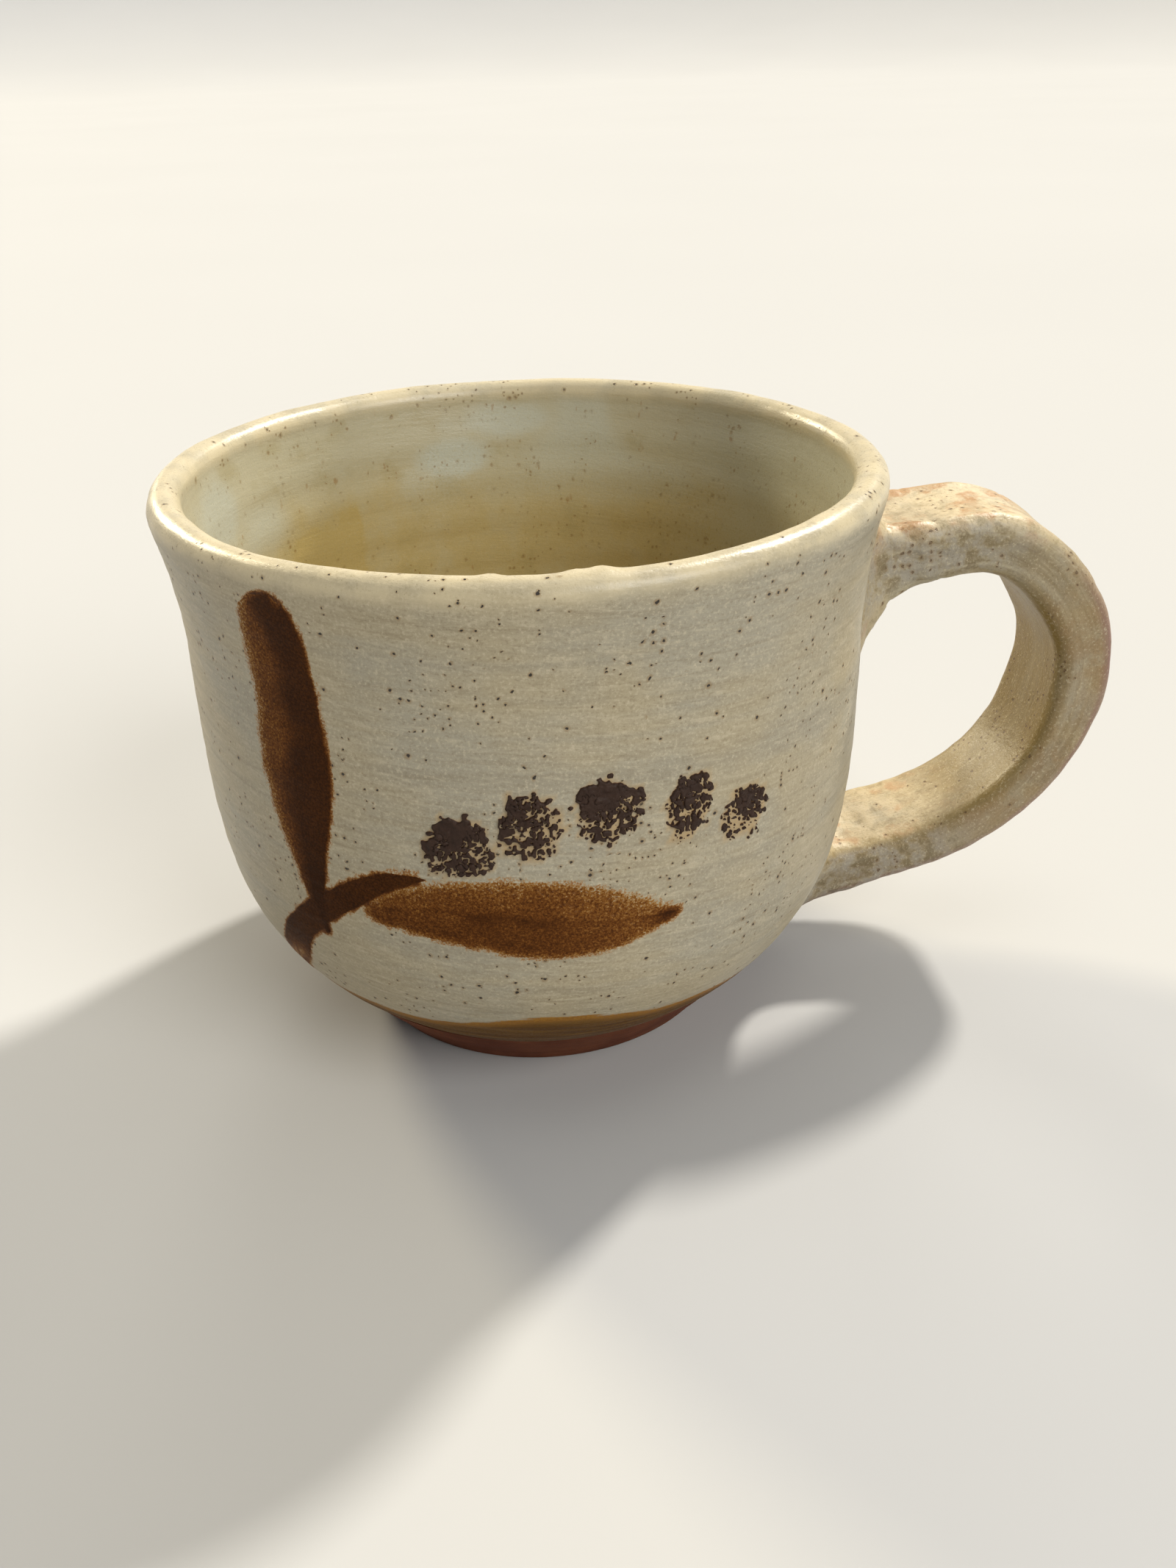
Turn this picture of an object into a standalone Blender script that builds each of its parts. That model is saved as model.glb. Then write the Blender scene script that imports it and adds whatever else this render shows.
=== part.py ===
"""Hand-thrown stoneware mug: a turned foot, a thrown cup, a pulled strap handle and brushed iron slip.

Lengths are in millimetres here and become metres when a mesh is made.
The origin is the centre of the foot's standing face, +Z is up and the handle is on the +X side.
Angles on the wall are in degrees round +Z from the handle.
"""

import math

import bmesh
import bpy
import numpy as np

MM = 0.001
GAP = 0.3
SEGMENTS = 64
CUTTER_MARGIN = 5.0

# Foot: flat underneath, bevelled outwards up to the cup, with a shallow dish that holds the cup's bottom.
FOOT_RADIUS = 29.8
FOOT_CHAMFER = 0.9
FOOT_HEIGHT = 9.6
FOOT_TOP_RADIUS = 37.1
DISH_RADIUS = 32.0
DISH_FLOOR = 3.0

# Cup: radius and height of the points that its outer and inner walls pass through.
LIP_CENTRE_RADIUS = 49.95
LIP_CENTRE_HEIGHT = 83.8
LIP_ROUND = 2.4
OUTER_WALL = [
    (37.3, FOOT_HEIGHT + GAP),
    (41.4, 14.0),
    (45.3, 20.0),
    (48.3, 28.0),
    (49.9, 40.0),
    (50.15, 56.0),
    (50.05, 67.0),
    (50.9, 76.0),
    (52.3, 83.2),
]
INNER_WALL = [
    (47.6, 83.2),
    (46.1, 75.5),
    (45.2, 66.0),
    (45.3, 53.0),
    (44.6, 38.0),
    (42.0, 26.5),
    (36.8, 17.5),
    (27.5, 11.4),
    (14.0, 8.9),
    (0.0, 8.4),
]

# Handle: the strap's centre line as x, z and thickness, from the upper root round to the lower one.
STRAP_HALF_WIDTH = 9.8
STRAP_EDGE_RADIUS = 2.5
EDGE_POINTS = 5
STRAP_PATH = [
    (60.0, 70.1, 9.2),
    (69.0, 71.2, 9.0),
    (76.2, 68.2, 9.2),
    (82.2, 62.1, 9.4),
    (86.3, 53.5, 9.1),
    (86.4, 43.5, 9.3),
    (83.0, 33.6, 8.2),
    (76.0, 25.6, 7.6),
    (66.5, 20.0, 7.8),
    (56.5, 17.1, 8.4),
]
# Roots: points that run from the strap's outer and inner faces into the wall, where they are cut off.
ROOT_HALF_WIDTH = 13.0
UPPER_ROOT_TOP = [(54.6, 74.9), (51.6, 76.9), (46.5, 79.0)]
UPPER_ROOT_BOTTOM = [(55.6, 62.2), (52.2, 56.8), (46.5, 50.0)]
LOWER_ROOT_TOP = [(51.6, 20.3), (46.8, 21.9), (40.0, 25.5)]
LOWER_ROOT_BOTTOM = [(51.0, 12.2), (45.5, 10.8), (37.6, 10.1)]

# Brush strokes: angle, height and half-width of points along each stroke's middle.
SLIP_THICKNESS = 0.35
LEAF_UPRIGHT = [
    (-131.4, 82.0, 4.0),
    (-131.6, 74.0, 5.2),
    (-131.8, 64.0, 6.0),
    (-132.0, 56.0, 5.9),
    (-132.0, 46.0, 3.7),
    (-131.4, 36.0, 1.2),
    (-131.0, 32.4, 0.6),
]
LEAF_LYING = [
    (-121.6, 38.9, 0.8),
    (-112.0, 40.5, 3.6),
    (-99.0, 40.0, 5.6),
    (-88.0, 38.8, 5.7),
    (-79.0, 38.0, 2.9),
    (-73.2, 37.8, 0.6),
]
STEM = [
    (-150.0, 18.5, 1.6),
    (-145.0, 22.6, 2.2),
    (-137.5, 30.6, 2.3),
    (-129.0, 37.8, 2.3),
    (-119.0, 43.2, 1.8),
    (-111.6, 45.3, 0.5),
]

# Berries: angle, height on the wall, width and tallness of each raised dab of thick slip.
BERRY_RISE = 0.7
BERRY_SEGMENTS = 16
BERRY_PROFILE = [(1.0, 0.0), (1.0, 0.45), (0.75, 0.85), (0.4, 1.0)]
BERRIES = [
    (-105.5, 50.6, 8.6, 8.6),
    (-95.5, 53.5, 8.0, 9.0),
    (-83.8, 55.1, 8.2, 9.4),
    (-71.8, 53.5, 6.6, 8.4),
    (-61.7, 49.6, 7.2, 7.0),
]

GLAZE = (0.62, 0.59, 0.48)
GLAZE_SHADE = (0.56, 0.52, 0.40)
BARE_CLAY = (0.20, 0.075, 0.035)
IRON_BRUSHED = (0.16, 0.075, 0.025)
IRON_THICK = (0.045, 0.018, 0.012)


def clear_scene():
    """Take every object out of the open file."""
    for item in list(bpy.data.objects):
        bpy.data.objects.remove(item, do_unlink=True)


def smooth_curve(points, steps):
    """Points on a Catmull-Rom curve through the given points, with this many steps to a span."""
    knots = np.array(points, dtype=float)
    before = 2 * knots[0] - knots[1]
    after = 2 * knots[-1] - knots[-2]
    knots = np.vstack([before, knots, after])
    curve = []
    for a, b, c, d in zip(knots, knots[1:], knots[2:], knots[3:]):
        for t in np.arange(steps) / steps:
            bend = (2 * a - 5 * b + 4 * c - d) * t**2 + (3 * b - a - 3 * c + d) * t**3
            curve.append(0.5 * (2 * b + (c - a) * t + bend))
    curve.append(knots[-2])
    return np.array(curve)


FINE_WALL = smooth_curve(OUTER_WALL, 24)


def wall_radius(height):
    """Radius of the cup's outer wall at a height."""
    return np.interp(height, FINE_WALL[:, 1], FINE_WALL[:, 0])


def on_wall(angle, height, lift):
    """A point over the outer wall, raised from it along the surface normal."""
    slope = (wall_radius(height + 0.5) - wall_radius(height - 0.5))
    length = math.hypot(1.0, slope)
    radius = wall_radius(height) + lift / length
    turn = math.radians(angle)
    return (radius * math.cos(turn), radius * math.sin(turn), height - lift * slope / length)


def degrees_across(distance, height):
    """The angle that a distance along the wall covers at a height."""
    return math.degrees(distance / wall_radius(height))


def finish(name, vertices, faces, colour, roughness, sharp_angle=35):
    """Make a closed mesh object, in metres, with a material of its own."""
    mesh = bpy.data.meshes.new(name)
    mesh.from_pydata([tuple(MM * value for value in vertex) for vertex in vertices], [], faces)
    shell = bmesh.new()
    shell.from_mesh(mesh)
    bmesh.ops.recalc_face_normals(shell, faces=shell.faces)
    shell.to_mesh(mesh)
    shell.free()
    mesh.shade_smooth()
    mesh.set_sharp_from_angle(angle=math.radians(sharp_angle))
    material = bpy.data.materials.new(name)
    material.use_nodes = True
    shader = material.node_tree.nodes["Principled BSDF"]
    shader.inputs["Base Color"].default_value = (*colour, 1.0)
    shader.inputs["Roughness"].default_value = roughness
    shader.inputs["Metallic"].default_value = 0.0
    mesh.materials.append(material)
    item = bpy.data.objects.new(name, mesh)
    bpy.context.collection.objects.link(item)
    return item


def strip(first, second):
    """Quads between two closed rings of vertex numbers."""
    count = len(first)
    return [(first[k], first[(k + 1) % count], second[(k + 1) % count], second[k]) for k in range(count)]


def revolve(name, profile, colour, roughness):
    """Turn a profile of radius and height round Z. A radius of 0 is a point on the axis."""
    vertices = []
    rings = []
    for radius, height in profile:
        first = len(vertices)
        if radius == 0:
            vertices.append((0, 0, height))
            rings.append([first])
            continue
        for k in range(SEGMENTS):
            turn = 2 * math.pi * k / SEGMENTS
            vertices.append((radius * math.cos(turn), radius * math.sin(turn), height))
        rings.append(list(range(first, first + SEGMENTS)))
    faces = []
    for lower, upper in zip(rings, rings[1:]):
        if len(lower) == 1:
            faces += [(lower[0], upper[(k + 1) % SEGMENTS], upper[k]) for k in range(SEGMENTS)]
        elif len(upper) == 1:
            faces += [(upper[0], lower[k], lower[(k + 1) % SEGMENTS]) for k in range(SEGMENTS)]
        else:
            faces += strip(lower, upper)
    for end in (rings[0], rings[-1]):
        if len(end) > 1:
            faces.append(tuple(end))
    return finish(name, vertices, faces, colour, roughness)


def loft(name, sections, colour, roughness):
    """Join closed sections of equal length, and close both ends."""
    vertices = [point for section in sections for point in section]
    count = len(sections[0])
    rings = [list(range(k * count, (k + 1) * count)) for k in range(len(sections))]
    faces = [face for first, second in zip(rings, rings[1:]) for face in strip(first, second)]
    faces += [tuple(rings[0]), tuple(rings[-1])]
    return finish(name, vertices, faces, colour, roughness, 60)


def cup_bottom(drop):
    """The round bottom that sits in the foot's dish, from the axis out to the dish's edge."""
    depth = FOOT_HEIGHT - DISH_FLOOR
    points = []
    for share in np.linspace(0, 1, 5):
        points.append((DISH_RADIUS * share, DISH_FLOOR + depth * share**2 + GAP - drop))
    return points


def make_foot():
    """The turned foot of bare clay."""
    profile = [
        (FOOT_RADIUS, 0.0),
        (FOOT_RADIUS + FOOT_CHAMFER, FOOT_CHAMFER),
        (FOOT_TOP_RADIUS, FOOT_HEIGHT),
    ]
    profile += reversed(cup_bottom(GAP))
    return revolve("turned_foot", profile, BARE_CLAY, 0.85)


def make_cup():
    """The thrown cup with its rounded lip."""
    profile = cup_bottom(0)
    profile += [tuple(point) for point in smooth_curve(OUTER_WALL, 2)]
    for turn in np.radians(np.linspace(15, 165, 5)):
        radius = LIP_CENTRE_RADIUS + LIP_ROUND * math.cos(turn)
        profile.append((radius, LIP_CENTRE_HEIGHT + LIP_ROUND * math.sin(turn)))
    profile += [tuple(point) for point in smooth_curve(INNER_WALL, 2)]
    profile[-1] = (0, INNER_WALL[-1][1])
    return revolve("cup_body", profile, GLAZE, 0.45)


def make_wall_cutter():
    """A guide solid: the foot and the cup's outside, one gap larger all round."""
    low = -CUTTER_MARGIN
    high = LIP_CENTRE_HEIGHT + CUTTER_MARGIN
    profile = [(0, low), (FOOT_RADIUS + GAP, low), (FOOT_RADIUS + GAP, 0.0)]
    profile.append((FOOT_TOP_RADIUS + GAP, FOOT_HEIGHT))
    for _, height in smooth_curve(OUTER_WALL, 2):
        x, _, z = on_wall(0, height, GAP)
        profile.append((x, z))
    profile += [(profile[-1][0], high), (0, high)]
    cutter = revolve("wall_cutter", profile, GLAZE, 0.5)
    cutter.hide_render = True
    cutter.display_type = "WIRE"
    return cutter


def section(top, bottom, half_width):
    """A strap section with rounded edges, between a point on its outer face and one on its inner face."""
    centre = (top + bottom) / 2
    half_thickness = np.linalg.norm(top - bottom) / 2
    axis = (top - bottom) / (2 * half_thickness)
    points = []
    for through_side, across_side, first in ((1, 1, 0), (-1, 1, 90), (-1, -1, 180), (1, -1, 270)):
        for turn in np.radians(np.linspace(first, first + 90, EDGE_POINTS)):
            through = through_side * (half_thickness - STRAP_EDGE_RADIUS)
            through += STRAP_EDGE_RADIUS * math.cos(turn)
            across = across_side * (half_width - STRAP_EDGE_RADIUS)
            across += STRAP_EDGE_RADIUS * math.sin(turn)
            x, z = centre + axis * through
            points.append((x, across, z))
    return points


def strap_faces():
    """Matching points along the strap's outer and inner faces."""
    path = smooth_curve(STRAP_PATH, 4)
    outer = []
    inner = []
    for k, (x, z, thickness) in enumerate(path):
        ahead = path[min(k + 1, len(path) - 1)]
        behind = path[max(k - 1, 0)]
        along = ahead[:2] - behind[:2]
        out = np.array([-along[1], along[0]]) / np.linalg.norm(along)
        outer.append(np.array([x, z]) + out * thickness / 2)
        inner.append(np.array([x, z]) - out * thickness / 2)
    return outer, inner


def make_root(name, outer_end, inner_end, outer_points, inner_points, cutter):
    """The clay that flares from one end of the strap onto the wall, cut to the wall."""
    across = (outer_end - inner_end) / np.linalg.norm(outer_end - inner_end)
    along = np.array([across[1], -across[0]])
    towards_wall = -along * np.sign(along[0])
    start = [end + towards_wall * GAP for end in (outer_end, inner_end)]
    outer_line = smooth_curve([start[0]] + outer_points, 3)
    inner_line = smooth_curve([start[1]] + inner_points, 3)
    sections = []
    for share, outer, inner in zip(np.linspace(0, 1, len(outer_line)), outer_line, inner_line):
        half_width = STRAP_HALF_WIDTH + (ROOT_HALF_WIDTH - STRAP_HALF_WIDTH) * share**2
        sections.append(section(outer, inner, half_width))
    root = loft(name, sections, GLAZE, 0.5)
    cut = root.modifiers.new("wall", "BOOLEAN")
    cut.operation = "DIFFERENCE"
    cut.solver = "EXACT"
    cut.object = cutter
    return root


def make_handle():
    """The pulled strap and the two roots that join it to the cup."""
    cutter = make_wall_cutter()
    outer, inner = strap_faces()
    strap = [section(top, bottom, STRAP_HALF_WIDTH) for top, bottom in zip(outer, inner)]
    loft("handle_strap", strap, GLAZE_SHADE, 0.5)
    make_root("handle_root_upper", outer[0], inner[0], UPPER_ROOT_TOP, UPPER_ROOT_BOTTOM, cutter)
    make_root("handle_root_lower", outer[-1], inner[-1], LOWER_ROOT_BOTTOM, LOWER_ROOT_TOP, cutter)


def make_stroke(name, points, lift, colour):
    """A brush stroke as a thin layer that follows the wall."""
    line = smooth_curve(points, 4)
    rows = []
    for k, (angle, height, half_width) in enumerate(line):
        ahead = line[min(k + 1, len(line) - 1)]
        behind = line[max(k - 1, 0)]
        run = math.radians(ahead[0] - behind[0]) * wall_radius(height)
        rise = ahead[1] - behind[1]
        length = math.hypot(run, rise)
        low = []
        high = []
        for share in (-1, -0.5, 0, 0.5, 1):
            side = share * half_width
            z = height + side * run / length
            turn = angle - degrees_across(side * rise / length, z)
            low.append(on_wall(turn, z, lift))
            high.append(on_wall(turn, z, lift + SLIP_THICKNESS * (1 - 0.5 * share**2)))
        rows.append(low + high[::-1])
    return loft(name, rows, colour, 0.6)


def make_berry(name, angle, height, width, tall):
    """A raised dab of thick slip on the wall."""
    rings = []
    for reach, rise in BERRY_PROFILE:
        ring = []
        for k in range(BERRY_SEGMENTS):
            turn = 2 * math.pi * k / BERRY_SEGMENTS
            z = height + reach * tall / 2 * math.sin(turn)
            side = degrees_across(reach * width / 2 * math.cos(turn), z)
            ring.append(on_wall(angle + side, z, GAP + rise * BERRY_RISE))
        rings.append(ring)
    vertices = [point for ring in rings for point in ring]
    numbers = [list(range(k * BERRY_SEGMENTS, (k + 1) * BERRY_SEGMENTS)) for k in range(len(rings))]
    faces = [face for first, second in zip(numbers, numbers[1:]) for face in strip(first, second)]
    for ring, lift in ((numbers[0], GAP), (numbers[-1], GAP + BERRY_RISE)):
        middle = len(vertices)
        vertices.append(on_wall(angle, height, lift))
        faces += [(middle, first, second) for first, second in zip(ring, ring[1:] + ring[:1])]
    return finish(name, vertices, faces, IRON_THICK, 0.55)


def make_decoration():
    """Two leaves and five berries on a stem, brushed and dabbed in iron slip."""
    make_stroke("leaf_upright", LEAF_UPRIGHT, GAP, IRON_BRUSHED)
    make_stroke("leaf_lying", LEAF_LYING, GAP, IRON_BRUSHED)
    make_stroke("stem", STEM, 2 * GAP + SLIP_THICKNESS, IRON_BRUSHED)
    for number, berry in enumerate(BERRIES, start=1):
        make_berry(f"berry_{number}", *berry)


def main():
    clear_scene()
    make_foot()
    make_cup()
    make_handle()
    make_decoration()


main()
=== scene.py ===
import itertools
import math

import bpy
import numpy as np
from mathutils import Matrix, Vector


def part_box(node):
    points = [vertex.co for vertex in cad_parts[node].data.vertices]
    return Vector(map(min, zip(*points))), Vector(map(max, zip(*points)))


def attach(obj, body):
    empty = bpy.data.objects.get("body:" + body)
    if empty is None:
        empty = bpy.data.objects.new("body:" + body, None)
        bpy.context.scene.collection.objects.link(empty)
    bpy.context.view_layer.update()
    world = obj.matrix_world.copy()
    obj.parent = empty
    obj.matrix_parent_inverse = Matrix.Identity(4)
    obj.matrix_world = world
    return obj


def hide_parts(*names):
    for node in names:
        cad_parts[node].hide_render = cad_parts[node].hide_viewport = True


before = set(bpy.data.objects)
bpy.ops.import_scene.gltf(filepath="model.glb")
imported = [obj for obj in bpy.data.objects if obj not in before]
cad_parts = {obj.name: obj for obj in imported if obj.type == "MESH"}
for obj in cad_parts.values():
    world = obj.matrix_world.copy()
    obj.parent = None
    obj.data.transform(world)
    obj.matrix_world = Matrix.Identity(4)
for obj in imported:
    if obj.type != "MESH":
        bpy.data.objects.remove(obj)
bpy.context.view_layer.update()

# Lengths are in millimetres in this script and become metres when a mesh is made.
# Angles on the wall are in degrees round +Z from the handle, and the sprig faces -Y.
MM = 0.001

# ---------------------------------------------------------------- driving dimensions

# Cup: radius and height of the points that its outer and inner walls pass through.
FOOT_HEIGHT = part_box("turned_foot")[1][2] / MM
LIP_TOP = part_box("cup_body")[1][2] / MM
LIP_ROUND = 2.4
LIP_CENTRE_RADIUS = 49.95
LIP_CENTRE_HEIGHT = LIP_TOP - LIP_ROUND
OUTER_WALL = [
    (37.2, FOOT_HEIGHT),
    (41.4, 14.0),
    (45.3, 20.0),
    (48.3, 28.0),
    (49.9, 40.0),
    (50.15, 56.0),
    (50.05, 67.0),
    (50.9, 76.0),
    (52.3, 83.2),
]
INNER_WALL = [
    (47.6, 83.2),
    (46.1, 75.5),
    (45.2, 66.0),
    (45.3, 53.0),
    (44.6, 38.0),
    (42.0, 26.5),
    (36.8, 17.5),
    (27.5, 11.4),
    (14.0, 8.9),
    (0.0, 8.4),
]
# Paint and handle follow the outer wall up to this height, just under the lip.
WALL_TOP = 83.0
# Small lumps on the front of the lip: angle, rise and reach.
LIP_BUMPS = [(-84.0, 0.55, 1.7), (-87.5, 0.35, 1.3), (-98.5, 0.3, 1.2)]
# Foot: radius and height of its profile's points, from the axis under the mug up to the cup.
FOOT_PROFILE = [
    (0.0, 0.3),
    (26.6, 0.25),
    (28.9, 0.0),
    (29.8, 0.25),
    (30.3, 0.9),
    (32.4, 3.6),
    (34.9, 6.6),
    (37.2, FOOT_HEIGHT),
]
CUP_SEGMENTS = 400
# Steps to a span of each profile and of each stroke's middle line.
OUTER_STEPS = 16
INNER_STEPS = 10
FOOT_STEPS = 14
STROKE_STEPS = 14
LIP_STEPS = 13
# The foot's top is hollowed down to this height at the axis, and the cup's round bottom sits in it.
DISH_FLOOR = 3.0
BOTTOM_GAP = 0.05

# Handle: the strap's centre line as x, z and thickness, with its ends run on into the wall.
STRAP_HALF_WIDTH = 9.8
STRAP_EDGE_RADIUS = 2.5
STRAP_STEPS = 14
# Points of the strap's outline round each corner, across a broad face and down a side.
CORNER_POINTS = 9
FACE_POINTS = 9
SIDE_POINTS = 5
STRAP_PATH = [
    (48.3, 69.6, 11.0),
    (54.0, 70.0, 10.0),
    (60.0, 70.5, 9.5),
    (69.0, 71.2, 9.0),
    (76.2, 68.2, 9.2),
    (82.2, 62.1, 9.4),
    (86.3, 53.5, 9.1),
    (86.4, 43.5, 9.3),
    (83.0, 33.6, 8.2),
    (76.0, 25.6, 7.6),
    (66.5, 20.0, 7.8),
    (56.5, 17.1, 8.4),
    (47.5, 15.4, 8.8),
    (38.5, 13.6, 9.2),
]
# Middle of the finger gap, as x and z.
GAP_MIDDLE = (50, 45)
# Clay that stays between the cavity and the strap's ends, which run on inside the wall.
COVER = 3.2
# How far the clay is smeared along the wall round each root: above, below and beside the strap.
UPPER_ROOT_FILLET = (4.0, 13.5, 6.0)
LOWER_ROOT_FILLET = (6.0, 6.5, 7.5)

# Brush strokes: angle, height and half-width of points along each stroke's middle.
LEAF_UPRIGHT = [
    (-132.5, 78.7, 4.2),
    (-131.9, 76.2, 4.9),
    (-131.6, 72.0, 5.3),
    (-131.6, 65.0, 5.7),
    (-131.8, 59.0, 6.2),
    (-131.9, 53.0, 5.5),
    (-131.9, 47.0, 4.0),
    (-131.6, 41.5, 2.4),
    (-131.3, 36.0, 1.2),
    (-131.0, 32.3, 0.5),
]
LEAF_LYING = [
    (-120.3, 39.0, 1.6),
    (-117.5, 39.6, 2.8),
    (-112.0, 40.4, 4.1),
    (-102.0, 40.4, 5.5),
    (-92.0, 39.3, 6.1),
    (-83.0, 38.2, 4.5),
    (-77.0, 37.9, 2.2),
    (-73.4, 37.8, 0.9),
]
STEM = [
    (-152.0, 16.0, 2.6),
    (-145.0, 22.4, 3.3),
    (-138.5, 30.0, 3.0),
    (-130.0, 36.9, 2.4),
    (-120.0, 42.9, 1.8),
    (-114.5, 44.9, 1.1),
    (-111.0, 45.5, 0.25),
]
# How far each film of iron runs on past its stroke, under the wall.
STROKE_MARGIN = 1.4
# Angles between which the wall is painted.
PAINTED = (-158, -50)
# Berries: how broken each dab of slip is, and the side where it stays solid,
# in degrees from its right.
BERRY_TEXTURE = {
    1: (0.16, 120.0),
    2: (0.22, 130.0),
    3: (0.15, 100.0),
    4: (0.23, 110.0),
    5: (0.27, 90.0),
}
BERRY_RISE = 0.38
BERRY_GRID = 0.09
BERRY_WIDEST = 4.4
BERRY_APART = 9.0

# Noise over the outer and the inner wall is taken on plain cylinders of these radii.
OUTER_NOISE_RADIUS = 50.0
INNER_NOISE_RADIUS = 46.0
# Value of the band attribute where the glaze is far above its lower edge.
NO_BAND = -9.0
# Specular level of brushed iron and of the turned band, which hardly shine.
DULL_SPECULAR = 0.06

# Camera: it stands before the sprig, a little left of it, and looks down on the mug.
CAMERA_AZIMUTH = -94.0
CAMERA_DISTANCE = 194.1
CAMERA_HEIGHT = 138.9
CAMERA_HEADING = 83.5
CAMERA_PITCH = 28.87
CAMERA_ROLL = -1.63
CAMERA_LENS = 31.16

# Stage, in metres. Lights: name, azimuth, elevation, strength, softness and colour.
FLOOR_RADIUS = 0.9
SWEEP_START = 5.0
SWEEP = 4.0
BACKDROP_HEIGHT = 7.0
SKY_STRENGTH = 0.22
LIGHTS = [
    ("key", 42.0, 45.0, 3.4, 5.0, (1.0, 0.95, 0.85)),
    ("fill", -52.0, 35.0, 1.95, 35.0, (1.0, 0.98, 0.93)),
    ("top", 0.0, 85.0, 0.4, 40.0, (1.0, 0.98, 0.93)),
    ("left", 125.0, 25.0, 2.4, 12.0, (1.0, 0.88, 0.62)),
    ("behind", 88.0, 30.0, 0.5, 18.0, (1.0, 0.97, 0.89)),
]


# ---------------------------------------------------------------- curves, noise and meshes

def smooth_curve(points, steps):
    """Points on a Catmull-Rom curve through the given points, with this many steps to a span."""
    knots = np.array(points, dtype=float)
    before = 2 * knots[0] - knots[1]
    after = 2 * knots[-1] - knots[-2]
    knots = np.vstack([before, knots, after])
    curve = []
    for a, b, c, d in zip(knots, knots[1:], knots[2:], knots[3:]):
        for t in np.arange(steps) / steps:
            bend = (2 * a - 5 * b + 4 * c - d) * t**2 + (3 * b - a - 3 * c + d) * t**3
            curve.append(0.5 * (2 * b + (c - a) * t + bend))
    curve.append(knots[-2])
    return np.array(curve)


def smooth_step(low, high, value):
    """0 below low, 1 above high, and a smooth rise between them."""
    share = np.clip((value - low) / (high - low), 0, 1)
    return share * share * (3 - 2 * share)


def lattice(cell, seed):
    """A fixed random number between -1 and 1 for each cell of a lattice."""
    key = cell @ np.array([73856093, 19349663, 83492791]) + seed * 62089911
    key = (key ^ (key >> 13)) * 1274126177 & 0x7FFFFFFF
    key = (key ^ (key >> 15)) * 668265263 & 0x7FFFFFFF
    return key / 0x3FFFFFFF - 1


def noise(points, size, seed):
    """Smooth noise between -1 and 1 at each point, with features about one size across."""
    place = np.asarray(points) / size
    cell = np.floor(place).astype(np.int64)
    part = place - cell
    fade = part * part * (3 - 2 * part)
    total = np.zeros(place.shape[:-1])
    for corner in itertools.product((0, 1), repeat=3):
        weight = np.prod(np.where(corner, fade, 1 - fade), axis=-1)
        total += weight * lattice(cell + corner, seed)
    return total


def rough(points, size, seed):
    """Noise of three sizes added together, each half as large and half as strong as the last."""
    return sum(noise(points, size / 2**k, seed + k) / 2**k for k in range(3)) / 1.5


def tube_normals(grid):
    """Outward unit normals of a grid of points whose second index runs round a closed tube."""
    along = np.gradient(grid, axis=0)
    across = np.roll(grid, -1, axis=1) - np.roll(grid, 1, axis=1)
    normals = np.cross(along, across)
    return normals / np.maximum(np.linalg.norm(normals, axis=-1, keepdims=True), 1e-9)


def grid_faces(rows, columns, around):
    """Quads of a grid of vertices numbered row by row."""
    numbers = np.arange(rows * columns).reshape(rows, columns)
    ahead = np.roll(numbers, -1, axis=1) if around else numbers[:, 1:]
    here = numbers if around else numbers[:, :-1]
    quads = np.stack([here[:-1], ahead[:-1], ahead[1:], here[1:]], axis=-1)
    return quads.reshape(-1, 4).tolist()


def closed_skin(grid, first_height, last_height):
    """Vertices and faces of a turned skin, closed by a fan from the axis at its first and last ring."""
    rows, count = grid.shape[:2]
    vertices = list(grid.reshape(-1, 3))
    faces = grid_faces(rows, count, True)
    for first, height in ((0, first_height), ((rows - 1) * count, last_height)):
        middle = len(vertices)
        vertices.append((0.0, 0.0, height))
        for k in range(count):
            pair = (first + k, first + (k + 1) % count)
            faces.append((middle, *reversed(pair)) if first == 0 else (middle, *pair))
    return vertices, faces


def make_piece(name, vertices, faces, material, nodes, attributes=(), normals=None):
    """A smooth mesh piece on the root body that stands for CAD nodes."""
    mesh = bpy.data.meshes.new(name)
    mesh.from_pydata((np.asarray(vertices) * MM).tolist(), [], faces)
    for label, values in dict(attributes).items():
        layer = mesh.attributes.new(label, "FLOAT", "POINT")
        layer.data.foreach_set("value", np.asarray(values, dtype=np.float32).ravel())
    mesh.materials.append(material)
    mesh.shade_smooth()
    if normals is not None:
        mesh.normals_split_custom_set_from_vertices(np.asarray(normals).tolist())
    piece = bpy.data.objects.new(name, mesh)
    bpy.context.scene.collection.objects.link(piece)
    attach(piece, "root")
    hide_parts(*nodes)
    return piece


# ---------------------------------------------------------------- the wall

FINE_WALL = smooth_curve(OUTER_WALL, 24)


def wall_radius(height):
    """Radius of the cup's outer wall at a height, without its throwing rings."""
    return np.interp(height, FINE_WALL[:, 1], FINE_WALL[:, 0])


def run_along(profile):
    """Distance along a profile to each of its points."""
    return np.append(0, np.cumsum(np.linalg.norm(np.diff(profile, axis=0), axis=1)))


def wall_run(height):
    """Distance up the outer wall's profile to a height."""
    return np.interp(height, FINE_WALL[:, 1], run_along(FINE_WALL))


def inner_radius(height):
    """Radius of the cavity at a height, 0 below its floor."""
    wall = smooth_curve(INNER_WALL, INNER_STEPS)[::-1]
    return np.interp(height, wall[:, 1], wall[:, 0], left=0.0)


def wall_slope(height):
    """How much the outer wall's radius grows over a millimetre of height."""
    return wall_radius(height + 0.5) - wall_radius(height - 0.5)


def cylinder(angle, radius, height):
    """Points from angle in degrees, radius and height."""
    turn = np.radians(angle)
    return np.stack([radius * np.cos(turn), radius * np.sin(turn), height + 0 * turn], axis=-1)


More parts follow.
